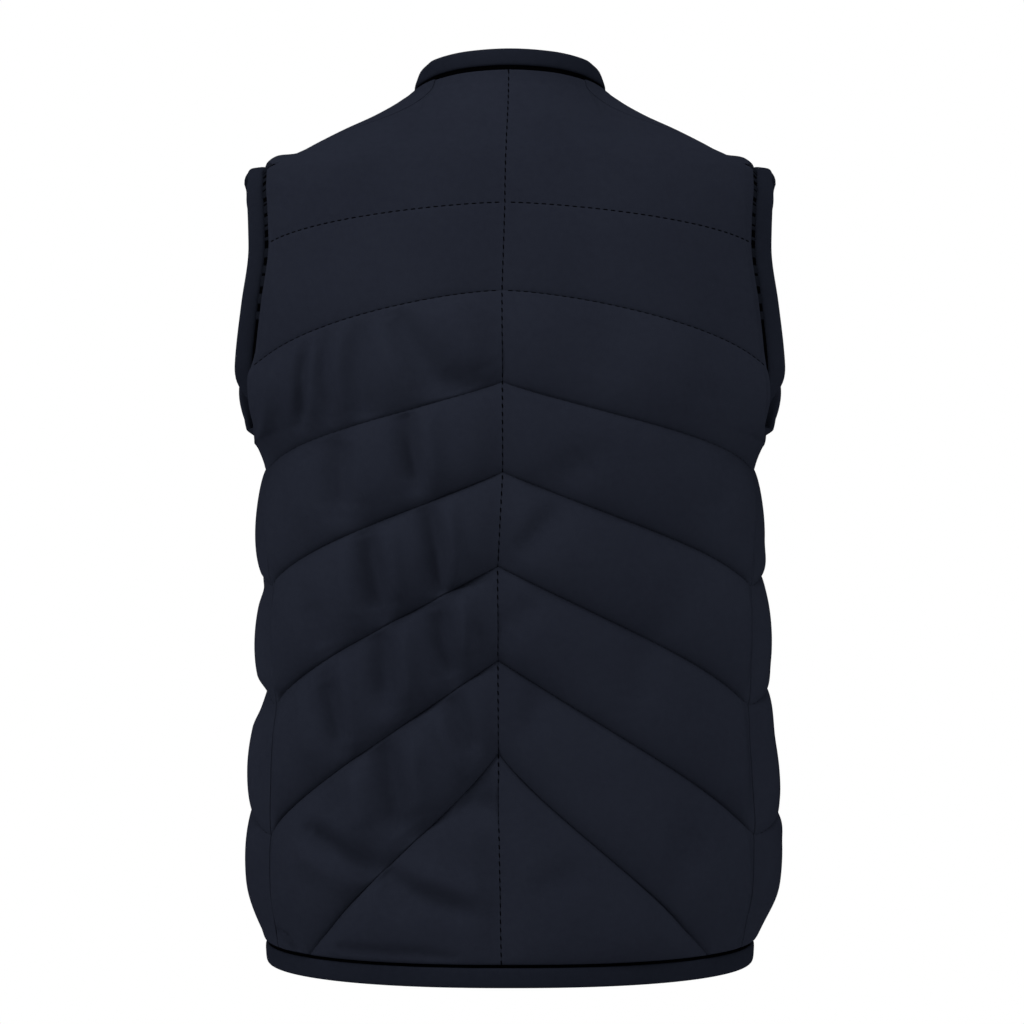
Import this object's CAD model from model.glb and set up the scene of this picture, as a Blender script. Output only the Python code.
# A quilted vest, filled out and worn by no one: cloth, bindings, stitching and press studs.
# Lengths in the tables are millimetres. +Z is up, the fronts face -Y, the wearer's left is +X.
import math

import bpy
import numpy as np
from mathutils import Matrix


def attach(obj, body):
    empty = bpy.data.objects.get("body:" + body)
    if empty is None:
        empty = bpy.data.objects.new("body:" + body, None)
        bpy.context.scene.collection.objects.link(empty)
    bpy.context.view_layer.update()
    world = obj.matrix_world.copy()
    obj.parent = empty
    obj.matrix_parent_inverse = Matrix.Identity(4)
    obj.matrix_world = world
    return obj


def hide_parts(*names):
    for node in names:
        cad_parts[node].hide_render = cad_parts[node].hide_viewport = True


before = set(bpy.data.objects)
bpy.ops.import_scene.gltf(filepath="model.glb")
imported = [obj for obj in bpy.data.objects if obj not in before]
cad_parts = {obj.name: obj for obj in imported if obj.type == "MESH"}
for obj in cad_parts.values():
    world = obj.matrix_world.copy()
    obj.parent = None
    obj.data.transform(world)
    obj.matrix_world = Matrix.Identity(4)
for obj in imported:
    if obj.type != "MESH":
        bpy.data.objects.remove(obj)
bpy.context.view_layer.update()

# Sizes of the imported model
WALL = 3.0
SEAM_GAP = 0.3
BAND_WIDTH = 12.5
HEM_BAND_WIDTH = 14.2
BAND_THICK = 4.0
NECK_HALF_WIDTH = 70.5
NECK_BACK = 57.0
NECK_FRONT = 97.0
HEM_Z = -597.0
ARM_TOP_Z = -25.0
ARM_BOTTOM_Z = -230.0
ARM_HALF_DEPTH = 54.0
STRIP_HALF = 13.7
STRIP_LAP = 12.0
LAP_FADE = 60.0
LAP_STEP = BAND_THICK / 2 + SEAM_GAP / 2
STUD_HEIGHTS = [-62, -160, -258, -356, -454, -552]

# Outer face at the stitch lines: height, half width, depth behind, depth before, squareness
FORM = [
    [-625, 180, 121, 116, 2.3],
    [-597, 181, 120, 116, 2.3],
    [-580, 184, 118, 117, 2.3],
    [-550, 190, 115, 118, 2.35],
    [-510, 193, 112, 119, 2.4],
    [-470, 190, 110, 120, 2.4],
    [-420, 185, 109, 121, 2.4],
    [-334, 182, 111, 122, 2.4],
    [-275, 180, 113, 122, 2.4],
    [-245, 181, 114, 121, 2.4],
    [-215, 190, 115, 120, 2.4],
    [-180, 201.5, 114, 118, 2.4],
    [-130, 198, 110, 114, 2.4],
    [-85, 193, 105, 109, 2.4],
    [-50, 194, 97, 104, 2.35],
    [-32, 190, 92, 101, 2.3],
    [-21, 174, 88, 98, 2.3],
    [-10, 149, 83, 92, 2.2],
    [1, 126, 78, 86, 2.2],
    [12, 102, 71, 79, 2.15],
    [23, 83, 64, 72, 2.1],
    [31, 73, 59, 66, 2.1],
    [38, 70.5, 57, 63, 2.1],
    [60, 70, 56, 61, 2.1],
]

# Centre-back seam: height and how far it wanders to the wearer's left
BACK_SEAM = [[-620, 5.5], [-448, 8], [-318, 8.5], [-252, 5], [-125, 5.5], [-62, 3.5], [45, -1]]

# Side seam: height and how far it lies behind the side line
SIDE_SEAM = [[-620, 54], [-597, 55], [-560, 58], [-512, 60], [-420, 52], [-334, 43], [-275, 32],
             [-230, 24]]

# Shoulder seam: share of its length from the neck, then its place
SHOULDER_SEAM = [
    [0, 54, 37, 38.7],
    [0.12, 58, 42, 26],
    [0.26, 72, 47, 12],
    [0.4, 90, 48, 5],
    [0.55, 110, 44, 2],
    [0.72, 136, 34, -3],
    [0.87, 161, 25, -14],
    [1, 181, 14, -25],
]

# Neck seam: angle from the centre back in degrees, and height
NECK_SEAM = [[-20, 42.8], [0, 42.8], [24, 41.8], [45, 39.4], [60, 36.8], [90, 33.2], [120, 20],
             [150, -8], [165, -17], [180, -20]]

# Quilting lines from the lowest: height at the centre, place on the outer edge, bend, fill above
BACK_LINES = [
    [-448, 0, 0.88, 9.5],
    [-384, 0.229, 1.02, 9.5],
    [-318, 0.482, 1, 9.5],
    [-252, 0.717, 0.96, 9],
    [-189, 0.941, 0.86, 7],
    [-125, 1.333, 1.55, 2.6],
    [-62, 1.628, 1.46, 1.4],
]
FRONT_LINES = [
    [-448, 0, 1.03, 9.5],
    [-384, 0.229, 1.4, 9.5],
    [-318, 0.482, 1.4, 9.5],
    [-252, 0.717, 1.35, 9],
    [-189, 0.941, 1.3, 7],
    [-130, 1.31, 1.2, 2.6],
    [-80, 1.6, 1.1, 1.4],
]
HEM_PUFF = 8.5
FULL_HEIGHT = 55.0
UNDERARM_STEP = 0.13
UNDERARM_FADE = 0.05

# How a column leaves the top seam: station, plan angle, rise, reach
BACK_LEAVES = [[0, 0, -0.5, 44], [0.2, 20, -0.5, 42], [0.3, 30, -0.5, 38], [0.42, 14, -0.4, 40],
               [0.6, 6, -0.4, 40], [1, 0, -0.4, 30]]
FRONT_LEAVES = [[0, 180, -0.6, 20], [0.1, 150, -0.5, 22], [0.18, 122, -0.4, 24],
                [0.235, 107, -0.35, 26], [0.29, 98, -0.3, 28], [0.345, 104, -0.2, 30],
                [0.4, 126, -0.1, 36], [0.5, 165, 0.1, 50], [0.7, 178, 0.1, 50], [1, 180, 0.1, 25]]

# How far an armhole binding stands out from the cloth: height and degrees
ARM_FLARE = [[-230, 34], [-180, 50], [-150, 46], [-105, 38], [-75, 42], [-45, 38], [-25, 22]]

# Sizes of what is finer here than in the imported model
DITCH = {"neck": 3.0, "hem": 1.9}
ARM_DITCH = [[-235, 5], [-185, 5], [-165, 7.5], [-120, 7], [-80, 5.6], [-20, 5]]
SEAM_REST = 0.22
STITCH_PITCH = 5.4
LEAST_WALL = 0.9
COLUMNS = 115
ROW_STEP = 2.0
MEASURED_AT = 0.3
OVER_SHOULDER = 150.0


def mix(a, b, t):
    return a + (b - a) * t


def ease(t):
    t = np.clip(t, 0, 1)
    return t * t * (3 - 2 * t)


def norm(p):
    return p / np.maximum(np.linalg.norm(p, axis=-1, keepdims=True), 1e-9)


def curve_of(rows, column):
    """A curve through a table's points that never overshoots them."""
    rows = np.array(rows, float)
    xs, ys = rows[:, 0], rows[:, column]
    steps = np.diff(xs)
    secant = np.diff(ys) / steps
    before, after = secant[:-1], secant[1:]
    agree = before * after > 0
    inner = np.where(agree, 2 * before * after / np.where(agree, before + after, 1), 0)
    slopes = np.concatenate([secant[:1], inner, secant[-1:]])

    def at(x):
        i = np.clip(np.searchsorted(xs, x) - 1, 0, len(steps) - 1)
        t = np.clip((x - xs[i]) / steps[i], 0, 1)
        return (ys[i] * (2 * t**3 - 3 * t**2 + 1) + steps[i] * slopes[i] * (t**3 - 2 * t**2 + t)
                + ys[i + 1] * (3 * t**2 - 2 * t**3) + steps[i] * slopes[i + 1] * (t**3 - t**2))

    return at


FINE_Z = np.arange(-640, 80, 0.25)
WIDTH, BACK, FRONT, SQUARE = [curve_of(FORM, column)(FINE_Z) for column in (1, 2, 3, 4)]
back_seam_x = curve_of(BACK_SEAM, 1)
side_seam_y = curve_of(SIDE_SEAM, 1)
neck_seam_z = curve_of(NECK_SEAM, 1)
shoulder_seam = [curve_of(SHOULDER_SEAM, column) for column in (1, 2, 3)]


def form(values, z):
    return np.interp(z, FINE_Z, values)


def depth_at(y, z):
    return np.where(np.asarray(y) >= 0, form(BACK, z), form(FRONT, z))


def level(p):
    """How far outside the form a point lies, as a share of the form's size."""
    x, y, z = p[..., 0], p[..., 1], p[..., 2]
    n = form(SQUARE, z)
    return ((np.abs(x) / form(WIDTH, z)) ** n + (np.abs(y) / depth_at(y, z)) ** n) ** (1 / n) - 1


def gradient(p):
    step = 0.4
    parts = []
    for axis in range(3):
        ahead, behind = p.copy(), p.copy()
        ahead[..., axis] += step
        behind[..., axis] -= step
        parts.append((level(ahead) - level(behind)) / (2 * step))
    return np.stack(parts, -1)


def on_form(p, rounds=8):
    """Moves points onto the form, straight out from it."""
    q = p.copy()
    for _ in range(rounds):
        slope = gradient(q)
        q -= slope * (level(q) / np.sum(slope**2, -1))[..., None]
    return q


def outward(p):
    return norm(gradient(p))


def point(x, y, z):
    return np.stack(np.broadcast_arrays(x, y, z), -1).astype(float)


def around(angle, z):
    n = form(SQUARE, z)
    s, c = np.sin(angle), np.cos(angle)
    reach = (np.abs(s) ** n + np.abs(c) ** n) ** (-1 / n)
    return point(form(WIDTH, z) * reach * s, depth_at(c, z) * reach * c, z)


def angle_of(p):
    x, y, z = p[..., 0], p[..., 1], p[..., 2]
    return np.arctan2(x / form(WIDTH, z), y / depth_at(y, z))


def angle_across(x, z, is_back):
    n = form(SQUARE, z)
    share = x / form(WIDTH, z)
    along = (1 - np.abs(share) ** n) ** (1 / n)
    return np.arctan2(share, along if is_back else -along)


def side_point(y, z):
    n = form(SQUARE, z)
    along = np.abs(y) / depth_at(y, z)
    return point(form(WIDTH, z) * np.maximum(1 - along**n, 0) ** (1 / n), y, z)


def outer_edge(place, is_back):
    """The outer edge of a panel: the side seam for 0 to 1, the armhole for 1 to 2."""
    place = np.asarray(place, float)
    z = mix(HEM_Z, ARM_BOTTOM_Z, place)
    seam = side_point(side_seam_y(z), z)
    turn = (np.clip(place, 1, 2) - 1.5) * math.pi
    rise = np.sin(turn)
    z = mix(ARM_BOTTOM_Z, ARM_TOP_Z, (rise + 1) / 2)
    middle = -2 + np.where(rise < 0, 26, 16) * rise**2
    reach = ARM_HALF_DEPTH * np.maximum(np.cos(turn), 0) ** 0.9 * (1 if is_back else -1)
    hole = on_form(side_point(middle + reach, z))
    return np.where((place <= 1)[..., None], seam, hole)


def neck_seam(angle):
    s, c = np.sin(angle), np.cos(angle)
    n = np.where(c > 0, 2.1, 2.6)
    reach = (np.abs(s) ** n + np.abs(c) ** n) ** (-1 / n)
    y = np.where(c > 0, NECK_BACK, NECK_FRONT) * reach * c
    return on_form(point(NECK_HALF_WIDTH * reach * s, y, neck_seam_z(np.degrees(np.abs(angle)))))


def shoulder_point(along):
    return on_form(point(*[f(along) for f in shoulder_seam]))


NECK_CORNER = math.atan2(SHOULDER_SEAM[0][1] / NECK_HALF_WIDTH, SHOULDER_SEAM[0][2] / NECK_BACK)


class Panel:
    """The layout of one quilted panel. side is 1 for the wearer's left and -1 for the right."""

    def __init__(self, name, is_back, side):
        self.name, self.is_back, self.side = name, is_back, side
        self.corner = 0.3 if is_back else 0.4
        self.hem_end = mix(self.corner, 1, 0.657) if is_back else self.corner
        self.lines = BACK_LINES if is_back else FRONT_LINES
        leaves = BACK_LEAVES if is_back else FRONT_LEAVES
        self.leaves = [curve_of(leaves, column) for column in (1, 2, 3)]

    def start_x(self, z):
        if self.is_back:
            return self.side * back_seam_x(z)
        return np.full_like(np.asarray(z, float), STRIP_HALF + SEAM_GAP)

    def between(self, z, s, end):
        start = angle_across(self.start_x(z), z, self.is_back)
        return mix(start, angle_of(end), s), z

    def line(self, index, s):
        """One quilting line, as angle and height. Line -1 is the hem; line 0 runs into it."""
        s = np.asarray(s, float)
        foot = outer_edge(0.0, self.is_back)
        if index < 0:
            return self.between(np.full_like(s, HEM_Z), s, foot)
        centre, edge, bend = self.lines[index][:3]
        if index == 0:
            z = mix(centre, HEM_Z, np.minimum(1, s / self.hem_end) ** bend)
            return self.between(z, s, foot)
        end = outer_edge(edge, self.is_back)
        share = s**bend if self.is_back else 1 - (1 - s) ** bend
        return self.between(mix(centre, end[2], share), s, end)

    def top(self, s):
        along = np.clip((s - self.corner) / (1 - self.corner), 0, 1)
        first = math.asin(float(self.start_x(0.0)) / NECK_HALF_WIDTH)
        first = first if self.is_back else math.pi - first
        neck = neck_seam(mix(first, NECK_CORNER, np.minimum(s / self.corner, 1)))
        return np.where((s >= self.corner)[..., None], shoulder_point(along), neck)

    def edge_place(self, index, v):
        """Where a row meets the outer edge; the underarm row falls on the armhole."""
        start = self.lines[index][1] if index >= 0 else 0
        end = self.lines[index + 1][1] if index + 1 < len(self.lines) else 2
        if start >= 1 or end <= 1:
            return mix(start, end, v)
        below = mix(start, 1, v / UNDERARM_STEP)
        above = mix(1, end, (v - UNDERARM_STEP) / (1 - UNDERARM_STEP))
        return np.where(v < UNDERARM_STEP, below, above)

    def lower(self, index, s, v):
        below, above = self.line(index, s), self.line(index + 1, s)
        low, high = self.line(index, 1.0), self.line(index + 1, 1.0)
        target = outer_edge(self.edge_place(index, v), self.is_back)
        pull = s**3
        angle = mix(below[0], above[0], v) + pull * (angle_of(target) - mix(low[0], high[0], v))
        z = mix(below[1], above[1], v) + pull * (target[..., 2] - mix(low[1], high[1], v))
        return around(angle, z)

    def over_shoulder(self, s, v):
        last = self.line(len(self.lines) - 1, s)
        start, end = around(*last), self.top(s)
        span = 0.4 * np.linalg.norm(end - start, axis=-1, keepdims=True)
        angle = np.radians(self.leaves[0](s))
        away = point(np.sin(angle), np.cos(angle), self.leaves[1](s))
        first = start + np.array([0, 0, 1.0]) * span
        second = end + away * self.leaves[2](s)[..., None]
        w, v = 1 - v[..., None], v[..., None]
        return start * w**3 + first * 3 * w**2 * v + second * 3 * w * v**2 + end * v**3

    def upper(self, s, shares):
        """Above the highest line: points at shares of each column's length over the shoulder."""
        v = np.linspace(0, 1, 29)[:, None]
        columns = np.broadcast_to(s, (29, len(s)))
        target = outer_edge(mix(self.lines[-1][1], 2, v), self.is_back)
        outer = self.over_shoulder(np.ones((29, 1)), v)
        path = on_form(self.over_shoulder(columns, np.broadcast_to(v, columns.shape))
                       + (target - outer) * columns[..., None] ** 3)
        return on_form(np.stack([at_shares(path[:, j], shares) for j in range(len(s))], 1), 3)

    def fill(self, index, s, v):
        """How far the filling stands out: steep at the lines, fullest just below the middle."""
        amount = HEM_PUFF if index < 0 else self.lines[index][3]
        height = FULL_HEIGHT
        if index < len(self.lines) - 1:
            height = self.line(index + 1, s)[1] - self.line(index, s)[1]
        shape = (4 * v * (1 - v)) ** 0.66 * (1 + 0.22 * (0.5 - v))
        inner = mix(0.62, 1, ease(s / 0.1)) if self.is_back else mix(0.3, 1, ease(s / 0.12))
        outer = mix(0.3, 1, ease((1 - s) / (0.09 if self.is_back else 0.14)))
        return amount * ease(height / FULL_HEIGHT) * shape * inner * outer


def path_lengths(path):
    steps = np.linalg.norm(np.diff(path, axis=0), axis=-1)
    return np.concatenate([[0], np.cumsum(steps)])


def at_lengths(path, wanted):
    lengths = path_lengths(path) + np.arange(len(path)) * 1e-9
    return np.stack([np.interp(wanted, lengths, path[:, axis]) for axis in range(3)], -1)


def at_shares(path, shares):
    return at_lengths(path, np.asarray(shares) * path_lengths(path)[-1])


# Soft folds in the quilting: the stretch of lines they lie in, their path as station and
# height, how wide they are towards the centre and towards the side, and their depth, which is
# below zero for a ridge.
FOLDS = {
    "back_left": [
        (4, [(0.64, -167), (0.615, -190), (0.61, -214)], 6.1, 7.3, 6.4),
        (4, [(0.57, -156), (0.5, -210)], 7.3, 8.5, 5.2),
        (4, [(0.455, -149), (0.39, -215)], 11, 11, 6.4),
        (4, [(0.33, -143), (0.185, -187), (0.105, -193)], 9.8, 12.2, 7.8),
        (4, [(0.605, -163), (0.555, -211)], 7.3, 7.3, -3.7),
        (4, [(0.51, -152), (0.445, -211)], 8.5, 8.5, -3.4),
        (4, [(0.19, -137), (0.06, -181)], 13.4, 11, -4.8),
        (4, [(0.385, -145), (0.275, -188)], 9.8, 9.8, -3),
        (4, [(0.785, -182), (0.805, -228)], 11, 11, -4.4),
        (3, [(0.265, -209), (0.275, -236), (0.27, -260)], 7.3, 8.5, 8.5),
        (3, [(0.5, -229), (0.525, -278)], 12.2, 12.2, 7.8),
        (3, [(0.215, -206), (0.22, -229), (0.22, -258)], 7.3, 8.5, -5.2),
        (3, [(0.43, -226), (0.45, -274)], 9.8, 9.8, -4.4),
        (3, [(0.65, -240), (0.685, -285)], 12.2, 12.2, -3.4),
        (3, [(0.345, -216), (0.37, -267)], 11, 11, -2.3),
        (2, [(0.25, -277), (0.215, -305), (0.21, -331), (0.2, -337)], 7.3, 9.8, 8.9),
        (2, [(0.455, -298), (0.43, -325), (0.415, -349)], 9.8, 12.2, 10.1),
        (2, [(0.685, -344), (0.64, -375)], 13, 13, 4.6),
        (2, [(0.18, -271), (0.165, -302), (0.15, -333)], 7.3, 8.5, -5.6),
        (2, [(0.385, -292), (0.365, -317), (0.355, -343)], 8.5, 9.8, -6),
        (2, [(0.53, -306), (0.52, -356)], 9.8, 9.8, -3.4),
        (1, [(0.645, -400), (0.615, -424), (0.6, -444)], 14, 10, 7.7),
        (1, [(0.425, -365), (0.42, -411)], 11, 12.2, 8.5),
        (1, [(0.215, -349), (0.2, -374), (0.17, -395)], 8.5, 11, 8.9),
        (1, [(0.085, -362), (0.09, -383)], 6.1, 6.1, 3.4),
        (1, [(0.585, -382), (0.56, -411), (0.54, -449)], 8, 9, -5.8),
        (1, [(0.35, -361), (0.335, -387), (0.33, -413)], 8.5, 9.8, -5.6),
        (1, [(0.135, -340), (0.12, -361), (0.105, -380)], 7.3, 8.5, -5.6),
        (1, [(0.77, -407), (0.73, -456)], 11, 11, -3.4),
        (0, [(0.17, -409), (0.1, -448)], 8.5, 9.8, 7.8),
        (0, [(0.43, -444), (0.365, -481), (0.355, -491), (0.315, -503)], 12.2, 13.4, 10.4),
        (0, [(0.645, -466), (0.575, -492)], 12, 12, 3.8),
        (0, [(0.69, -506), (0.55, -518), (0.42, -531)], 8, 9.5, 9.4),
        (0, [(0.23, -424), (0.165, -442), (0.11, -460)], 8.5, 8.5, -5.2),
        (0, [(0.53, -465), (0.475, -503)], 11, 11, -5.6),
        (0, [(0.315, -440), (0.3, -465), (0.265, -491)], 9.8, 9.8, -6),
        (0, [(0.725, -520), (0.59, -532), (0.515, -546)], 11, 11, -4.1),
        (-1, [(0.4, -529), (0.295, -544), (0.12, -556)], 7.5, 9.5, 6.2),
        (-1, [(0.39, -541), (0.355, -553), (0.315, -559)], 8.5, 8.5, 3.7),
        (-1, [(0.14, -482), (0.065, -485), (0.01, -484)], 11, 11, 6),
        (-1, [(0.585, -587), (0.43, -588), (0.29, -588), (0.165, -591)], 4, 4, 4),
        (-1, [(0.26, -533), (0.165, -542), (0.065, -548)], 9.8, 9.8, -3.7),
        (1, [(0.97, -417), (0.855, -405)], 8.5, 8.5, 5),
        (2, [(1, -392), (0.93, -409)], 7.3, 7.3, -4),
        (0, [(0.965, -581), (0.865, -584), (0.825, -592)], 4, 5, 7.8),
    ],
    "back_right": [
        (4, [(0.3, -150), (0.24, -185)], 16, 16, 1.9),
        (4, [(0.62, -160), (0.58, -205)], 12, 12, 2.2),
        (3, [(0.255, -243), (0.19, -256)], 14, 14, 3.8),
        (3, [(0.72, -240), (0.7, -280)], 12, 12, 2.4),
        (2, [(0.19, -275), (0.065, -310)], 9, 14, 4.3),
        (2, [(0.6, -330), (0.56, -365)], 14, 14, 2.2),
        (1, [(0.12, -341), (0.045, -362)], 11, 12, 3.5),
        (1, [(0.5, -375), (0.47, -415)], 14, 14, 2.2),
        (0, [(0.15, -405), (0.1, -430)], 11, 12, 3.2),
        (0, [(0.66, -505), (0.61, -530)], 14, 14, 3.5),
        (-1, [(0.25, -530), (0.12, -545)], 12, 12, 2.4),
    ],
    "front_left": [
        (4, [(0.62, -160), (0.6, -205)], 7, 7, 2.4),
        (4, [(0.3, -160), (0.34, -195)], 8, 9, 2.2),
        (3, [(0.5, -210), (0.46, -262)], 7, 9, 3.1),
        (3, [(0.2, -220), (0.24, -255)], 9, 9, 2),
        (2, [(0.38, -280), (0.34, -330)], 6, 8, 3.4),
        (2, [(0.7, -300), (0.68, -350)], 10, 10, 2.7),
        (1, [(0.55, -345), (0.5, -400)], 6, 10, 3.7),
        (1, [(0.22, -350), (0.26, -385)], 8, 8, 2.5),
        (0, [(0.4, -415), (0.36, -465)], 8, 10, 3.7),
        (0, [(0.75, -450), (0.62, -500)], 10, 10, 3.2),
        (-1, [(0.05, -540), (0.2, -556)], 9, 9, 2.5),
    ],
    "front_right": [
        (4, [(0.5, -155), (0.48, -205)], 10, 10, 2),
        (3, [(0.32, -215), (0.28, -255)], 12, 12, 2.2),
        (2, [(0.6, -290), (0.55, -335)], 9, 12, 2.9),
        (2, [(0.15, -285), (0.2, -325)], 10, 10, 2),
        (1, [(0.35, -345), (0.32, -395)], 8, 10, 2.9),
        (0, [(0.5, -420), (0.46, -480)], 10, 12, 3.1),
        (0, [(0.8, -470), (0.7, -520)], 12, 12, 2.4),
        (-1, [(0.06, -530), (0.22, -548)], 10, 10, 2.2),
    ],
}
PANEL_SPAN = 205.0

# Small swellings and hollows: centre, radius and height, as on the wearer's left
PUCKERS = {
    "front_left": [((166, 16, -19), 15, -3.5), ((172, 5, -21), 13, 6.5)],
    "front_right": [((166, 16, -19), 15, -3.5), ((172, 5, -21), 12, 5.5)],
    "back_left": [((163, 22, -18), 16, -4.5), ((191, 44, -206), 21, 11.5),
                  ((187, 50, -180), 11, 3)],
    "back_right": [((163, 22, -18), 16, -4.0), ((191, 44, -206), 20, 10)],
}

# How far the sides stand out beyond the form: height and millimetres
SIDE_EASE = {
    1: [[-640, 0], [-600, 0], [-585, -4], [-560, -3.5], [-500, -4], [-440, -4.2], [-425, -7],
        [-415, -7.5], [-400, -3], [-350, -3.5], [-338, -4.5], [-325, 0], [80, 0]],
    -1: [[-640, 0], [-600, 0], [-585, -2], [-560, 1], [-525, 2.2], [-508, 4.5], [-490, 2.5],
         [-450, 0], [-415, 4], [-390, 1.5], [-340, 2.5], [-325, 3.5], [-300, 0], [80, 0]],
}


def fold_height(fold, s, z):
    """Height of one fold at stations and heights. It runs out gently at both ends."""
    _, path, near, far, depth = fold
    path = np.array([(a * PANEL_SPAN, b) for a, b in path])
    best = np.full(s.shape, 1e9)
    offset = np.zeros(s.shape)
    share = np.zeros(s.shape)
    lengths = path_lengths(path)
    for start, end, before in zip(path[:-1], path[1:], lengths):
        way = (end - start) / np.linalg.norm(end - start)
        x, y = s * PANEL_SPAN - start[0], z - start[1]
        along = np.clip(x * way[0] + y * way[1], 0, np.linalg.norm(end - start))
        dx, dy = x - along * way[0], y - along * way[1]
        distance = np.hypot(dx, dy)
        side = np.sign(x * -way[1] + y * way[0])
        closer = distance < best
        best = np.where(closer, distance, best)
        offset = np.where(closer, distance * side, offset)
        share = np.where(closer, (before + along) / lengths[-1], share)
    width = np.where(offset < 0, near, far)
    taper = 1 - 0.4 * (2 * share - 1) ** 6
    return -depth * taper * np.exp(-((best / width) ** 2))


def pucker_height(name, p):
    return sum(height * np.exp(-np.sum((p - np.array(centre)) ** 2, -1) / radius**2)
               for centre, radius, height in PUCKERS[name])


def lap_at(x, is_over):
    near = 1 - ease((np.abs(x) - STRIP_HALF) / (LAP_FADE - STRIP_HALF))
    return near * LAP_STEP * (1 if is_over else -1)


def stations_of(panel):
    rim = np.array([0, 0.0015, 0.004, 0.008])
    inner = np.linspace(0.014, panel.corner, int(COLUMNS * panel.corner))
    outer = np.linspace(panel.corner, 0.986, int(COLUMNS * (1 - panel.corner)))[1:]
    return np.concatenate([rim, inner, outer, 1 - rim[::-1]])


def steps_of(height):
    t = np.linspace(0, 1, max(6, round(height / ROW_STEP)) + 1)
    return t - 0.07 * np.sin(2 * math.pi * t)


def grid_of(panel):
    """Rows of points from the hem to the top seam, with what each row and point knows."""
    s = stations_of(panel)
    rows, fills, stretches, shares = [], [], [], []
    count = len(panel.lines)
    for index in range(-1, count):
        low = panel.line(index, MEASURED_AT)[1]
        high = panel.line(index + 1, MEASURED_AT)[1] if index < count - 1 else low + OVER_SHOULDER
        v = steps_of(float(high - low))
        if index < 0:
            v = np.insert(v, 1, [0.003, 0.008])
        elif index == count - 1:
            v = np.insert(v, -1, [0.992, 0.997])
        v = v[0 if index < 0 else 1:]
        wide = np.broadcast_to(s, (len(v), len(s)))
        tall = np.broadcast_to(v[:, None], wide.shape)
        rows.append(panel.lower(index, wide, tall) if index < count - 1 else panel.upper(s, v))
        fills.append(panel.fill(index, wide, tall))
        stretches += [index] * len(v)
        shares += list(v)
    place = [float(panel.edge_place(index, share)) for index, share in zip(stretches, shares)]
    return {"s": s, "base": np.concatenate(rows), "fill": np.concatenate(fills),
            "stretch": np.array(stretches), "v": np.array(shares), "place": np.array(place)}


def slide(p, amounts, span=26.0):
    """Moves the points of each line away from its first point, less and less over the span."""
    moved = np.empty_like(p)
    for i, (path, amount) in enumerate(zip(p, amounts)):
        lengths = path_lengths(path)
        moved[i] = at_lengths(path, lengths + amount * (1 - ease(lengths / span)))
    return moved


def pushed_off(p, seam, amount, span=26.0):
    """Moves points near a closed seam down from it, less and less over the span."""
    flat = p.reshape(-1, 3).copy()
    chosen = np.flatnonzero(flat[:, 2] > seam[:, 2].min() - 60)
    down = np.cross(norm(np.roll(seam, -1, 0) - np.roll(seam, 1, 0)), outward(seam))
    down *= np.where(down[:, 2:] > 0, -1, 1)
    apart = np.linalg.norm(flat[chosen][:, None] - seam[None], axis=-1)
    closest = np.argmin(apart, 1)
    share = 1 - ease(apart[np.arange(len(chosen)), closest] / span)
    flat[chosen] += down[closest] * (amount * share)[:, None]
    return flat.reshape(p.shape)


def drawn_in(panel, grid):
    """Draws a panel's rim in, to leave the ditch beside each binding."""
    p = grid["base"]
    width = curve_of(ARM_DITCH, 1)(p[:, -1, 2])
    hole = mix(SEAM_REST, width, ease((grid["place"] - 1) / UNDERARM_FADE))
    shoulder = np.where(grid["s"] >= panel.corner, SEAM_REST, 0)
    p = slide(p[:, ::-1], hole)[:, ::-1]
    columns = np.swapaxes(p, 0, 1)
    columns = slide(columns, np.full(len(columns), DITCH["hem"]))
    columns = slide(columns[:, ::-1], shoulder)[:, ::-1]
    neck = neck_seam(np.linspace(-math.pi, math.pi, 361)[:-1])
    return on_form(pushed_off(np.swapaxes(columns, 0, 1), neck, DITCH["neck"]), 3)


def rolled_rim(panel, grid, p, radius=1.5, seam=1.1):
    """How far the cloth turns down near its rim: within a radius, or less at a plain seam."""
    rows = np.stack([path_lengths(line) for line in p])
    columns = np.stack([path_lengths(p[:, j]) for j in range(p.shape[1])], 1)
    edge = mix(seam, radius, ease((grid["place"] - 1) / UNDERARM_FADE))[:, None]
    top = np.where(grid["s"] >= panel.corner, seam, radius)[None, :]
    drop = 0
    for distance, reach in ((rows, 0.3 if panel.is_back else radius), (rows[:, -1:] - rows, edge),
                            (columns, radius), (columns[-1:] - columns, top)):
        near = np.clip(1 - distance / reach, 0, 1)
        drop = np.maximum(drop, reach * (1 - np.sqrt(1 - near**2)))
    return drop


def eased_sides(p, side):
    """Lets the sides in or out a little, as the filling lies."""
    amount = curve_of(SIDE_EASE[side], 1)(p[..., 2]) * ease((np.abs(p[..., 0]) - 160) / 30)
    moved = p.copy()
    moved[..., 0] += amount
    return moved


def numbered(base):
    """A number for each cell; cells that fall on the one below share its number."""
    count = 0
    numbers = np.zeros(base.shape[:2], int)
    for i in range(len(base)):
        for j in range(base.shape[1]):
            if i and np.sum((base[i, j] - base[i - 1, j]) ** 2) < 1e-4:
                numbers[i, j] = numbers[i - 1, j]
            else:
                numbers[i, j] = count
                count += 1
    return numbers, count


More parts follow.
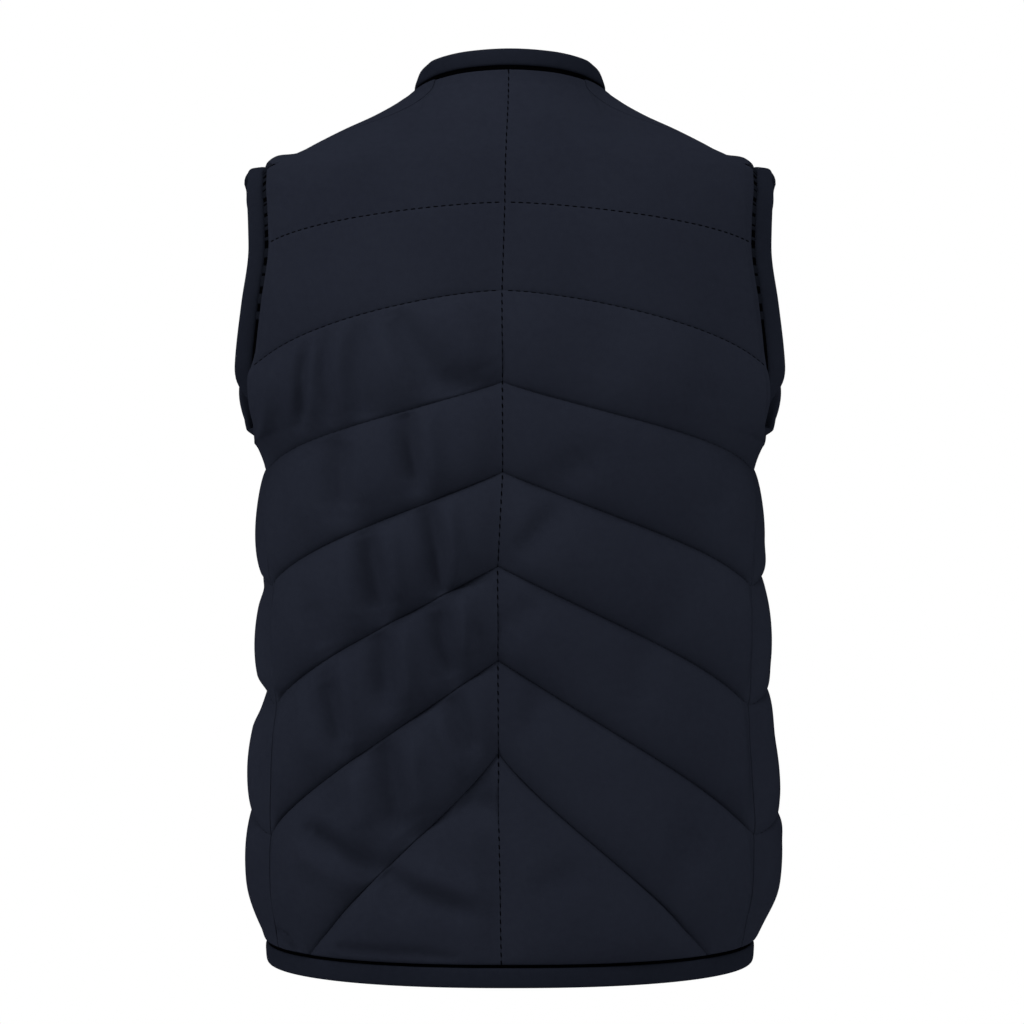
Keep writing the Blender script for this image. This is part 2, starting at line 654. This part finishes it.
def wall_faces(numbers, count):
    """Both faces of a wall and its rim, from the grid of vertex numbers of its outer face."""
    quads = np.stack([numbers[:-1, :-1], numbers[:-1, 1:], numbers[1:, 1:], numbers[1:, :-1]], -1)
    outer = []
    for quad in quads.reshape(-1, 4).tolist():
        face = [a for i, a in enumerate(quad) if a != quad[i - 1]]
        if len(set(face)) > 2:
            outer.append(face)
    edges = set()
    for face in outer:
        for a, b in zip(face, face[1:] + face[:1]):
            if (b, a) in edges:
                edges.remove((b, a))
            else:
                edges.add((a, b))
    inner = [[a + count for a in reversed(face)] for face in outer]
    rim = [[b, a, a + count, b + count] for a, b in sorted(edges)]
    return outer + inner + rim


def volume_of(points, faces):
    total = 0.0
    for size in (3, 4):
        corners = np.array([face for face in faces if len(face) == size])
        for k in range(1, size - 1):
            if len(corners):
                a, b, c = points[corners[:, 0]], points[corners[:, k]], points[corners[:, k + 1]]
                total += np.sum(a * np.cross(b, c)) / 6
    return total


def add_mesh(name, points, faces, material, uv=None, sharp=40):
    """Adds one mesh. Points and uv are in millimetres."""
    points = np.asarray(points, float)
    if volume_of(points, faces) < 0:
        faces = [face[::-1] for face in faces]
    mesh = bpy.data.meshes.new(name)
    mesh.from_pydata((points / 1000).tolist(), [], faces)
    mesh.shade_smooth()
    if sharp:
        mesh.set_sharp_from_angle(angle=math.radians(sharp))
    if uv is not None:
        layer = mesh.uv_layers.new(name="cloth")
        corners = np.empty(len(mesh.loops), int)
        mesh.loops.foreach_get("vertex_index", corners)
        layer.data.foreach_set("uv", (np.asarray(uv)[corners] / 1000).ravel())
    mesh.materials.append(material)
    piece = bpy.data.objects.new(name, mesh)
    bpy.context.scene.collection.objects.link(piece)
    return piece


# Materials
def socket_value(node, name, value):
    node.inputs[name].default_value = value


class Shader:
    """A small builder for one procedural material."""

    def __init__(self, name):
        self.material = bpy.data.materials.new(name)
        self.material.use_nodes = True
        self.tree = self.material.node_tree
        self.surface = self.tree.nodes["Principled BSDF"]

    def node(self, kind, **values):
        node = self.tree.nodes.new(kind)
        for name, value in values.items():
            setattr(node, name, value)
        return node

    def link(self, source, target):
        self.tree.links.new(source, target)

    def math(self, operation, a, b=None):
        node = self.node("ShaderNodeMath", operation=operation)
        for i, value in enumerate((a, b)):
            if value is None:
                continue
            if isinstance(value, (int, float)):
                node.inputs[i].default_value = value
            else:
                self.link(value, node.inputs[i])
        return node.outputs[0]

    def noise(self, vector, scale, detail=3.0):
        node = self.node("ShaderNodeTexNoise")
        socket_value(node, "Scale", scale)
        socket_value(node, "Detail", detail)
        self.link(vector, node.inputs["Vector"])
        return node.outputs["Fac"]

    def ramp(self, factor, low, high, colours):
        node = self.node("ShaderNodeValToRGB")
        node.color_ramp.elements[0].position = low
        node.color_ramp.elements[1].position = high
        for element, colour in zip(node.color_ramp.elements, colours):
            element.color = (*colour, 1)
        self.link(factor, node.inputs["Fac"])
        return node.outputs["Color"]

    def bump(self, height, distance, strength=1.0, below=None):
        node = self.node("ShaderNodeBump")
        socket_value(node, "Distance", distance)
        socket_value(node, "Strength", strength)
        self.link(height, node.inputs["Height"])
        if below is not None:
            self.link(below, node.inputs["Normal"])
        return node.outputs["Normal"]


def cloth_material(name, dark, light, pitch, ribbed=False):
    """A close plain weave, or a fine rib across the length of a tape."""
    shader = Shader(name)
    coords = shader.node("ShaderNodeTexCoord")
    split = shader.node("ShaderNodeSeparateXYZ")
    shader.link(coords.outputs["UV"], split.inputs["Vector"])
    turns = 2 * math.pi / (pitch / 1000)
    warp = shader.math("SINE", shader.math("MULTIPLY", split.outputs["X"], turns))
    weft = shader.math("SINE", shader.math("MULTIPLY", split.outputs["Y"], turns))
    weave = weft if ribbed else shader.math("MULTIPLY", warp, weft)
    tone = shader.noise(coords.outputs["Object"], 9.0, 4.0)
    grain = shader.noise(coords.outputs["Object"], 1300.0, 2.0)
    slub = shader.noise(coords.outputs["Object"], 240.0, 5.0)
    blend = shader.math("ADD", shader.math("MULTIPLY", tone, 0.45),
                        shader.math("ADD", shader.math("MULTIPLY", grain, 0.3),
                                    shader.math("MULTIPLY", slub, 0.25)))
    shader.link(shader.ramp(blend, 0.36, 0.64, (dark, light)), shader.surface.inputs["Base Color"])
    rough = shader.math("ADD", shader.math("MULTIPLY", slub, 0.16), 0.68)
    shader.link(rough, shader.surface.inputs["Roughness"])
    soft = shader.bump(shader.noise(coords.outputs["Object"], 70.0, 3.0), 0.0006, 0.35)
    fine = shader.bump(grain, 0.00008, 0.5, soft)
    shader.link(shader.bump(weave, 0.00005, 0.6, fine), shader.surface.inputs["Normal"])
    socket_value(shader.surface, "Specular IOR Level", 0.0)
    return shader.material


def thread_material(name, dark, light):
    shader = Shader(name)
    coords = shader.node("ShaderNodeTexCoord")
    twist = shader.noise(coords.outputs["Object"], 1800.0, 2.0)
    shader.link(shader.ramp(twist, 0.35, 0.65, (dark, light)), shader.surface.inputs["Base Color"])
    shader.link(shader.bump(twist, 0.00008, 0.7), shader.surface.inputs["Normal"])
    socket_value(shader.surface, "Roughness", 1.0)
    socket_value(shader.surface, "Specular IOR Level", 0.0)
    return shader.material


def metal_material(name):
    """Dark enamel over metal, worn a little on its rims."""
    shader = Shader(name)
    coords = shader.node("ShaderNodeTexCoord")
    wear = shader.noise(coords.outputs["Object"], 420.0, 6.0)
    colours = ((0.012, 0.014, 0.022), (0.03, 0.034, 0.05))
    shader.link(shader.ramp(wear, 0.45, 0.75, colours), shader.surface.inputs["Base Color"])
    rough = shader.math("ADD", shader.math("MULTIPLY", wear, 0.25), 0.2)
    shader.link(rough, shader.surface.inputs["Roughness"])
    shader.link(shader.bump(wear, 0.00005, 0.3), shader.surface.inputs["Normal"])
    socket_value(shader.surface, "Metallic", 0.55)
    socket_value(shader.surface, "Coat Weight", 0.4)
    return shader.material


CLOTH = cloth_material("quilted_cloth", (0.0086, 0.0100, 0.0158), (0.0112, 0.0131, 0.0201), 0.55)
BINDING = cloth_material("binding", (0.0060, 0.0072, 0.0114), (0.0079, 0.0094, 0.0147), 0.5, True)
THREAD = thread_material("thread", (0.0029, 0.0034, 0.0053), (0.0048, 0.0058, 0.0086))
DARK = thread_material("seam_shadow", (0.0003, 0.0003, 0.0004), (0.0007, 0.0007, 0.0009))
METAL = metal_material("stud")


def mirrored(p, side):
    return p * np.array([side, 1, 1])


def add_panel(panel):
    """A quilted panel: filled outside, plain inside."""
    grid = grid_of(panel)
    p = drawn_in(panel, grid)
    if not panel.is_back:
        away = STRIP_HALF + SEAM_GAP - p[:, :1, 0]
        p[..., 0] += away * (1 - ease((p[..., 0] - STRIP_HALF) / 20))
    out = outward(p)
    lap = 0 if panel.is_back else lap_at(p[..., 0], panel.side > 0)
    s = np.broadcast_to(grid["s"], p.shape[:2])
    v = np.broadcast_to(grid["v"][:, None], s.shape)
    lift = grid["fill"].copy()
    between = (4 * v * (1 - v)) ** 0.36
    for fold in FOLDS[panel.name]:
        rows = grid["stretch"] == fold[0]
        lift[rows] += (fold_height(fold, s[rows], p[rows][..., 2]) * between[rows]
                       * np.minimum(1, grid["fill"][rows] / 3))
    lift += pucker_height(panel.name, p) - rolled_rim(panel, grid, p)
    outer = p + out * (lift + lap)[..., None]
    inner = p + out * (lap - WALL + np.minimum(0, lift + WALL - LEAST_WALL))[..., None]
    outer, inner = [eased_sides(skin, panel.side) for skin in (outer, inner)]
    numbers, count = numbered(grid["base"])
    first = np.unique(numbers.ravel(), return_index=True)[1]
    flat = [skin.reshape(-1, 3)[first] for skin in (outer, inner)]
    points = mirrored(np.concatenate(flat), panel.side)
    up = np.stack([path_lengths(p[:, j]) for j in range(p.shape[1])], 1)
    uv = np.stack([s * PANEL_SPAN, up], -1).reshape(-1, 2)[first]
    piece = add_mesh(panel.name + "_quilting", points, wall_faces(numbers, count), CLOTH,
                     np.concatenate([uv, uv]), 32)
    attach(piece, "root")
    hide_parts(panel.name)
    grid.update(out=out, outer=outer, inner=inner)
    return grid


def tube_sides(rings, size, closed=False):
    faces = []
    for i in range(rings if closed else rings - 1):
        n = (i + 1) % rings
        for j in range(size):
            k = (j + 1) % size
            faces.append([i * size + j, i * size + k, n * size + k, n * size + j])
    return faces


def tube_faces(rings, size, closed):
    """The sides of a tube, and its ends unless it closes on itself."""
    faces = tube_sides(rings, size, closed)
    if closed:
        return faces
    last = (rings - 1) * size
    for end in (list(range(size))[::-1], list(range(last, last + size))):
        faces += [end] if size == 4 else [[end[0], end[j], end[j + 1]] for j in range(1, size - 1)]
    return faces


def band_section(count=22, squareness=3.4):
    """Section of a folded band: distance from its seam and height over its middle."""
    turn = np.linspace(0, 2 * math.pi, count, endpoint=False)
    c, s = np.cos(turn), np.sin(turn)
    return (0.5 - 0.5 * np.sign(c) * np.abs(c) ** (2 / squareness),
            np.sign(s) * np.abs(s) ** (2 / squareness))


def seam_frames(points, closed, towards):
    """Points along a seam, the way out of the cloth, and the way off the seam's edge."""
    if closed:
        before, after = np.roll(points, 1, 0), np.roll(points, -1, 0)
    else:
        before = np.concatenate([points[:1], points[:-1]])
        after = np.concatenate([points[1:], points[-1:]])
    out = outward(points)
    away = norm(np.cross(after - before, out))
    flip = np.sign(np.sum(away * towards(points), -1))[:, None]
    return points, out, away * flip


def sweep(frames, section, flare, lap, width=BAND_WIDTH):
    """Rings of a folded band that leaves its seam."""
    points, out, away = frames
    u, n = section
    reach = u[None, :] * (width - SEAM_GAP)
    flare, lap = [np.broadcast_to(value, len(points))[:, None] for value in (flare, lap)]
    height = lap - WALL / 2 + n[None, :] * BAND_THICK / 2 + reach * np.sin(flare)
    return (points[:, None] + away[:, None] * (SEAM_REST + reach * np.cos(flare))[..., None]
            + out[:, None] * height[..., None])


def ditch_rings(frames, width, lap):
    """The floor of the ditch between a binding and the quilting."""
    points, out, away = frames
    width, lap = [np.broadcast_to(value, len(points))[:, None] for value in (width, lap)]
    across = width * np.array([-1, 0, 0, -1]) + np.array([-1.6, 0.5, 0.5, -1.6])
    depth = np.array([-1.3, -1.3, -2.1, -2.1]) + lap
    return points[:, None] + away[:, None] * across[..., None] + out[:, None] * depth[..., None]


def band_uv(rings):
    around_it = path_lengths(np.concatenate([rings[0], rings[0][:1]]))[:-1]
    along = path_lengths(rings[:, 0])
    return np.stack(np.meshgrid(around_it, along), -1).reshape(-1, 2)


def add_band(name, rings, closed, side, node):
    faces = tube_faces(len(rings), rings.shape[1], closed)
    points = mirrored(rings.reshape(-1, 3), side)
    piece = add_mesh(name, points, faces, BINDING, band_uv(rings), 60)
    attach(piece, "root")
    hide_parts(node)
    return piece


def add_plain(name, points, faces, material, slot="quilted_cloth", sharp=40):
    piece = add_mesh(name, points, faces, material, None, sharp)
    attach(piece, "root")
    return piece


def add_ditch(name, rings, closed, side=1):
    faces = tube_faces(len(rings), 4, closed)
    return add_plain(name, mirrored(rings.reshape(-1, 3), side), faces, DARK)


# Stitches
def stitch_meshes(places, ways, normals, length, width, height):
    """Points and faces of short rounded lengths of thread."""
    across = norm(np.cross(normals, ways))
    sections = [(-0.5, 0.35), (-0.38, 0.9), (0.38, 0.9), (0.5, 0.35)]
    turn = np.arange(6) * math.pi / 3
    points, size = [], len(sections) * 6
    width = np.broadcast_to(width, len(places))[:, None]
    for along, girth in sections:
        for angle in turn:
            points.append(places + ways * (along * length)
                          + across * (math.cos(angle) * girth * width / 2)
                          + normals * (math.sin(angle) * girth * height / 2))
    points = np.stack(points, 1)
    pattern = np.array(tube_sides(len(sections), 6))
    last = size - 6
    ends = np.array([[0, j + 1, j] for j in range(1, 5)]
                    + [[last, last + j, last + j + 1] for j in range(1, 5)])
    starts = (np.arange(len(places)) * size)[:, None, None]
    faces = [(part[None] + starts).reshape(-1, part.shape[1]).tolist() for part in (pattern, ends)]
    return points.reshape(-1, 3), faces[0] + faces[1]


def joined(parts):
    points, faces, start = [], [], 0
    for part_points, part_faces in parts:
        points.append(part_points)
        faces += [[a + start for a in face] for face in part_faces]
        start += len(part_points)
    return np.concatenate(points), faces


def stitch_line(path, normals, pitch, length, width, height=0.4, lift=0.05, tilt=0.0):
    """Stitches along a path on the cloth."""
    total = path_lengths(path)[-1]
    count = max(1, int(total / pitch))
    wanted = (np.arange(count) + 0.5) * total / count
    places = at_lengths(path, wanted)
    ahead, behind = np.minimum(wanted + 1, total), np.maximum(wanted - 1, 0)
    ways = norm(at_lengths(path, ahead) - at_lengths(path, behind))
    shares = path_lengths(path) + np.arange(len(path)) * 1e-9
    out = norm(np.stack([np.interp(wanted, shares, normals[:, k]) for k in range(3)], -1))
    ways = norm(ways + np.cross(out, ways) * tilt)
    return stitch_meshes(places + out * lift, ways, out, length, width, height)


def line_rows(grid):
    """The rows of a panel's grid that lie on its quilting lines."""
    return [np.flatnonzero(grid["stretch"] == index)[-1] for index in range(-1, 6)]


def add_quilting_stitches(panel, grid):
    deep, open_ones = [], []
    for number, row in enumerate(line_rows(grid)):
        keep = grid["s"] < (panel.hem_end - 0.03 if number == 0 else 0.985)
        keep &= grid["s"] > 0.01
        shallow = number >= 5
        for skin, way in ((grid["outer"], 1), (grid["inner"], -1)):
            path = mirrored(skin[row][keep], panel.side)
            out = mirrored(grid["out"][row][keep], panel.side) * way
            if shallow:
                open_ones.append(stitch_line(path, out, STITCH_PITCH, 3.3, 1.05, 0.5, 0.1))
            else:
                deep.append(stitch_line(path, out, STITCH_PITCH, 2.8, 0.7))
    add_plain(panel.name + "_stitches_deep", *joined(deep), THREAD)
    add_plain(panel.name + "_stitches_open", *joined(open_ones), DARK)


panels = [Panel("front_left", False, 1), Panel("back_left", True, 1),
          Panel("back_right", True, -1), Panel("front_right", False, -1)]
grids = {panel.name: add_panel(panel) for panel in panels}
for panel in panels:
    add_quilting_stitches(panel, grids[panel.name])

left_edge, right_edge = [grids[name]["outer"][:, 0] for name in ("back_left", "back_right")]
seam_path = (left_edge + mirrored(right_edge, -1)) / 2
seam_stitches = stitch_line(seam_path, grids["back_left"]["out"][:, 0], 5.7, 3.2, 1.05, 0.6, 0.25, 0.12)
add_plain("centre_back_stitches", *seam_stitches, DARK)


def add_seam_shadow(name, path, side):
    """The floor of a plain seam between two panels."""
    points, out, away = seam_frames(path, False, lambda p: np.array([0, 1, 0.0]))
    section = np.array([[-1.0, -0.7], [1.0, -0.7], [1.0, -1.4], [-1.0, -1.4]])
    rings = points[:, None] + away[:, None] * section[:, :1] + out[:, None] * section[:, 1:]
    add_ditch(name, rings, False, side)


for label, panel, side in (("left", panels[1], 1), ("right", panels[2], -1)):
    grid = grids[panel.name]
    shoulder = grid["base"][-1][grid["s"] >= panel.corner][1:-1]
    sunk = np.minimum(0, pucker_height(panel.name, shoulder))
    shoulder = shoulder + outward(shoulder) * sunk[:, None]
    down = eased_sides(grid["base"][grid["place"] < 0.985, -1][2:], side)
    add_seam_shadow("shoulder_seam_" + label, shoulder, side)
    add_seam_shadow("side_seam_" + label, down, side)


# Armhole bindings, with a row of small ticks of thread on each side of the shoulder tip
ARM_CENTRE_X = 190
TICKED_LENGTH = 130
LEAST_TICK = 1.2


def arm_loop(back, front):
    edges = []
    for grid in (grids[back.name], grids[front.name]):
        edges.append(grid["base"][grid["place"] >= 1, -1])
    loop = np.concatenate([edges[0], edges[1][1:-1][::-1]])
    closed = np.concatenate([loop, loop[:1]])
    return at_shares(closed, np.linspace(0, 1, 216, endpoint=False))


def add_arm_binding(label, back, front, side):
    centre = np.array([ARM_CENTRE_X, 0, (ARM_TOP_Z + ARM_BOTTOM_Z) / 2])
    frames = seam_frames(arm_loop(back, front), True, lambda p: centre - p)
    y, z = frames[0][:, 1], frames[0][:, 2]
    tucked = ease((y - 2) / 14) * ease((-174 - z) / 26)
    ahead = ease((-2 - y) / 14) * ease((z + 100) / 30)
    flare = np.radians(curve_of(ARM_FLARE, 1)(z) * (1 - tucked - 0.4 * ahead))
    rings = sweep(frames, band_section(), flare, 0)
    add_band("armhole_binding_" + label + "_band", rings, True, side, "armhole_binding_" + label)
    add_ditch("armhole_ditch_" + label, ditch_rings(frames, curve_of(ARM_DITCH, 1)(z), 0), True, side)
    points, out, away = [mirrored(part, side) for part in frames]
    closed, turned, faced = [np.concatenate([part, part[:1]]) for part in (points, away, out)]
    lengths = path_lengths(closed)
    tip = lengths[np.argmax(closed[:, 2])]
    reach, wanted, sizes = 1.0, [], []
    while reach < TICKED_LENGTH:
        size = max(LEAST_TICK, min(LEAST_TICK + 0.003 * reach**2, 5 + 3.5 * math.sin(reach)))
        wanted += [tip + reach + size / 2, tip - reach - size / 2]
        sizes += [size, size]
        reach += size + min(0.8 + 0.0022 * reach**2, 3 + 2.4 * math.sin(2.3 * reach))
    wanted, sizes = np.array(wanted) % lengths[-1], np.array(sizes)
    places = at_lengths(closed, wanted)
    ways, outs = [norm(np.stack([np.interp(wanted, lengths, part[:, k]) for k in range(3)], -1))
                  for part in (turned, faced)]
    points, faces = stitch_meshes(places - ways * 3 - outs * 0.9, ways, outs, 7, sizes, 0.6)
    add_plain("armhole_ticks_" + label, points, faces, THREAD, "binding")


add_arm_binding("left", panels[1], panels[0], 1)
add_arm_binding("right", panels[2], panels[3], -1)


# Neck and hem bindings
RING_STEP = 2.6


def neck_strip(x):
    p = neck_seam(math.pi - np.arcsin(np.abs(x) / NECK_HALF_WIDTH))
    return point(x, p[..., 1], p[..., 2])


def hem_strip(x):
    p = around(angle_across(np.abs(x), HEM_Z, False), np.full_like(x, HEM_Z))
    return point(x, p[..., 1], HEM_Z)


def round_path(row_of, strip_point):
    """A seam round the whole vest, from the over strip to the under strip, with its lap."""
    parts = [(strip_point(np.linspace(-STRIP_LAP, STRIP_HALF - 3, 8)), None, True)]
    for panel, flip, skip in zip(panels, (False, True, False, True), (0, 1, 1, 1)):
        path = mirrored(row_of(panel, grids[panel.name]), panel.side)
        parts.append(((path[::-1] if flip else path)[skip:], panel, None))
    parts.append((strip_point(np.linspace(-STRIP_HALF + 3, STRIP_LAP, 8)), None, False))
    points, laps = [], []
    for path, panel, is_over in parts:
        points.append(path)
        if panel is None:
            laps.append(np.full(len(path), LAP_STEP * (1 if is_over else -1)))
        else:
            laps.append(np.zeros(len(path)) if panel.is_back else lap_at(path[:, 0], panel.side > 0))
    return np.concatenate(points), np.concatenate(laps)


def even_path(path, lap):
    lengths = path_lengths(path)
    wanted = np.linspace(0, lengths[-1], int(lengths[-1] / RING_STEP))
    return at_lengths(path, wanted), np.interp(wanted, lengths, lap)


def add_round_binding(label, row_of, strip_point, up, width):
    path, lap = even_path(*round_path(row_of, strip_point))
    frames = seam_frames(path, False, lambda p: np.array([0, 0, up]))
    rings = sweep(frames, band_section(), 0, lap, width)
    add_band(label + "_binding_band", rings, False, 1, label + "_binding")
    inside = slice(8, -8)
    frames = tuple(part[inside] for part in frames)
    add_ditch(label + "_ditch", ditch_rings(frames, DITCH[label], lap[inside]), False)


def neck_row(panel, grid):
    return grid["base"][-1][grid["s"] <= panel.corner + 1e-6]


def hem_row(_, grid):
    return grid["base"][0]


add_round_binding("neck", neck_row, neck_strip, 1, BAND_WIDTH)
add_round_binding("hem", hem_row, hem_strip, -1, HEM_BAND_WIDTH)


# Front strips, which cover the edge of the front panels by a hair
STRIP_COVER = 0.12
STRIP_RIM = 2.2
TOP_SHAPED = 40


def add_strip(name, grid, is_over):
    side = 1 if is_over else -1
    across = np.linspace(STRIP_HALF + SEAM_GAP + STRIP_COVER, -STRIP_LAP, 27)
    heights = at_shares(grid["base"][:, 0], np.linspace(0, 1, 300))[:, 2]
    trim = SEAM_GAP / 2 + 0.03
    heights[0] = HEM_Z + trim
    z = np.broadcast_to(heights[:, None], (len(heights), len(across))).copy()
    top = neck_strip(across)[:, 2] - trim
    share = np.clip((heights - (heights[-1] - TOP_SHAPED)) / TOP_SHAPED, 0, 1)[:, None]
    z += share * (top - heights[-1])[None, :]
    x = np.broadcast_to(across, z.shape)
    p = around(angle_across(np.abs(x), z, False), z)
    p = point(x, p[..., 1], z)
    out = outward(p)
    rim = np.minimum(np.minimum(across[0] - x, x + STRIP_LAP), STRIP_RIM) / STRIP_RIM
    round_edge = 1.3 * (1 - np.sqrt(1 - (1 - rim) ** 2))
    press = 0.5 * np.exp(-np.min([((z - h) ** 2 + x**2) / 90 for h in STUD_HEIGHTS], 0))
    slack = 0.35 * np.sin(z / 15.6) * np.sin((x + STRIP_LAP) / 26 * math.pi)
    middle = side * LAP_STEP - WALL / 2
    skins = [p + out * (middle + BAND_THICK / 2 - round_edge - press + slack * is_over)[..., None],
             p + out * (middle - BAND_THICK / 2 + round_edge)[..., None]]
    numbers = np.arange(z.size).reshape(z.shape)
    points = mirrored(np.concatenate([skin.reshape(-1, 3) for skin in skins]), side)
    uv = np.stack([x, z], -1).reshape(-1, 2)
    piece = add_mesh(name + "_band", points, wall_faces(numbers, z.size), BINDING,
                     np.concatenate([uv, uv]), 50)
    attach(piece, "root")
    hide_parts(name)
    sewn = []
    for place in (STRIP_HALF - 1.8, -STRIP_LAP + 2.4):
        column = int(np.argmin(np.abs(across - place)))
        path = mirrored(skins[0][4:-4, column], side)
        sewn.append(stitch_line(path, mirrored(out[4:-4, column], side), 3.4, 2.3, 0.55, 0.35))
    points, faces = joined(sewn)
    add_plain(name + "_stitches", points, faces, THREAD, "binding")


add_strip("front_strip_over", grids["front_left"], True)
add_strip("front_strip_under", grids["front_right"], False)

# Press studs, as radius and height above the strip
CAP_PROFILE = [(0, 2.05), (1.6, 2.02), (3.0, 1.9), (4.2, 1.66), (5.1, 1.3), (5.7, 0.95), (6.05, 0.7),
               (6.2, 0.45), (6.15, 0.2), (5.9, 0.0)]
RING_PROFILE = [(0, 0.35), (1.3, 0.4), (1.7, 0.9), (2.2, 1.25), (2.8, 1.3), (3.4, 1.1), (3.9, 0.8),
                (4.7, 0.72), (5.2, 0.55), (5.4, 0.3), (5.3, 0.0)]


def add_dome(name, centre, axis, profile, node, sides=40):
    across = norm(np.cross(axis, [1.0, 0, 0]))
    other = np.cross(axis, across)
    turn = np.linspace(0, 2 * math.pi, sides, endpoint=False)
    rings = np.stack([centre + axis * h + r * (np.cos(turn)[:, None] * across
                      + np.sin(turn)[:, None] * other) for r, h in profile[1:]])
    points = np.concatenate([rings.reshape(-1, 3), [centre + axis * profile[0][1]], [centre]])
    faces = tube_sides(len(rings), sides)
    top, foot, last = len(points) - 2, len(points) - 1, (len(rings) - 1) * sides
    for j in range(sides):
        k = (j + 1) % sides
        faces += [[top, k, j], [foot, last + j, last + k]]
    piece = add_mesh(name, points, faces, METAL, None, 60)
    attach(piece, "root")
    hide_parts(node)


for i, z in enumerate(STUD_HEIGHTS):
    seat = around(math.pi, float(z))
    axis = outward(seat[None])[0]
    over = LAP_STEP - WALL / 2 + BAND_THICK / 2 - 0.2
    under = -LAP_STEP - WALL / 2 - BAND_THICK / 2 - SEAM_GAP
    add_dome(f"press_stud_cap_{i + 1}", seat + axis * over, axis, CAP_PROFILE, f"stud_cap_{i + 1}")
    add_dome(f"press_stud_ring_{i + 1}", seat + axis * under, -axis, RING_PROFILE, f"stud_ring_{i + 1}")


# Floor, light and camera
AMBIENT = 0.26


def add_floor():
    shader = Shader("floor")
    coords = shader.node("ShaderNodeTexCoord")
    speck = shader.noise(coords.outputs["Object"], 30.0, 3.0)
    shades = ((0.77, 0.77, 0.77), (0.79, 0.79, 0.79))
    shader.link(shader.ramp(speck, 0.4, 0.6, shades), shader.surface.inputs["Base Color"])
    socket_value(shader.surface, "Roughness", 0.9)
    mesh = bpy.data.meshes.new("floor")
    radius, low = 2.3, -1.2
    turn = np.linspace(0, 2 * math.pi, 96, endpoint=False)
    rim = [(radius * math.cos(a), radius * math.sin(a), low) for a in turn]
    mesh.from_pydata(rim, [], [list(range(len(rim)))])
    mesh.materials.append(shader.material)
    floor = bpy.data.objects.new("floor", mesh)
    bpy.context.scene.collection.objects.link(floor)


def add_light(name, place, target, size, power):
    data = bpy.data.lights.new(name, "AREA")
    data.shape = "DISK"
    data.size = size
    data.energy = power
    light = bpy.data.objects.new(name, data)
    light.location = place
    way = np.array(target) - np.array(place)
    yaw = math.atan2(way[0], way[1])
    pitch = math.atan2(way[2], math.hypot(way[0], way[1]))
    light.rotation_euler = (math.pi / 2 + pitch, 0, -yaw)
    bpy.context.scene.collection.objects.link(light)


def add_world():
    """White behind the vest, and a lower even light on it."""
    world = bpy.data.worlds.new("studio")
    world.use_nodes = True
    tree = world.node_tree
    background = tree.nodes["Background"]
    background.inputs["Color"].default_value = (1, 1, 1, 1)
    path = tree.nodes.new("ShaderNodeLightPath")
    strength = tree.nodes.new("ShaderNodeMapRange")
    strength.inputs["To Min"].default_value = AMBIENT
    strength.inputs["To Max"].default_value = 1.0
    tree.links.new(path.outputs["Is Camera Ray"], strength.inputs["Value"])
    tree.links.new(strength.outputs["Result"], background.inputs["Strength"])
    bpy.context.scene.world = world


def add_camera():
    data = bpy.data.cameras.new("camera")
    data.lens = 82.8
    data.sensor_width = 36
    camera = bpy.data.objects.new("camera", data)
    camera.location = (-0.0015, 1.757, -0.280)
    camera.rotation_euler = (math.pi / 2, 0, math.pi)
    bpy.context.scene.collection.objects.link(camera)
    bpy.context.scene.camera = camera


add_floor()
add_world()
add_light("overhead", (0.0, 0.9, 1.6), (0, 0, -0.2), 1.0, 30)
add_light("left", (2.0, 0.95, 0.5), (0, 0, -0.3), 0.5, 47)
add_light("right", (-1.6, 1.4, 0.3), (0, 0, -0.3), 1.2, 27)
add_light("front", (-0.2, -1.6, 1.0), (0, 0, -0.3), 1.2, 42)
add_camera()
bpy.context.scene.view_settings.view_transform = "Standard"
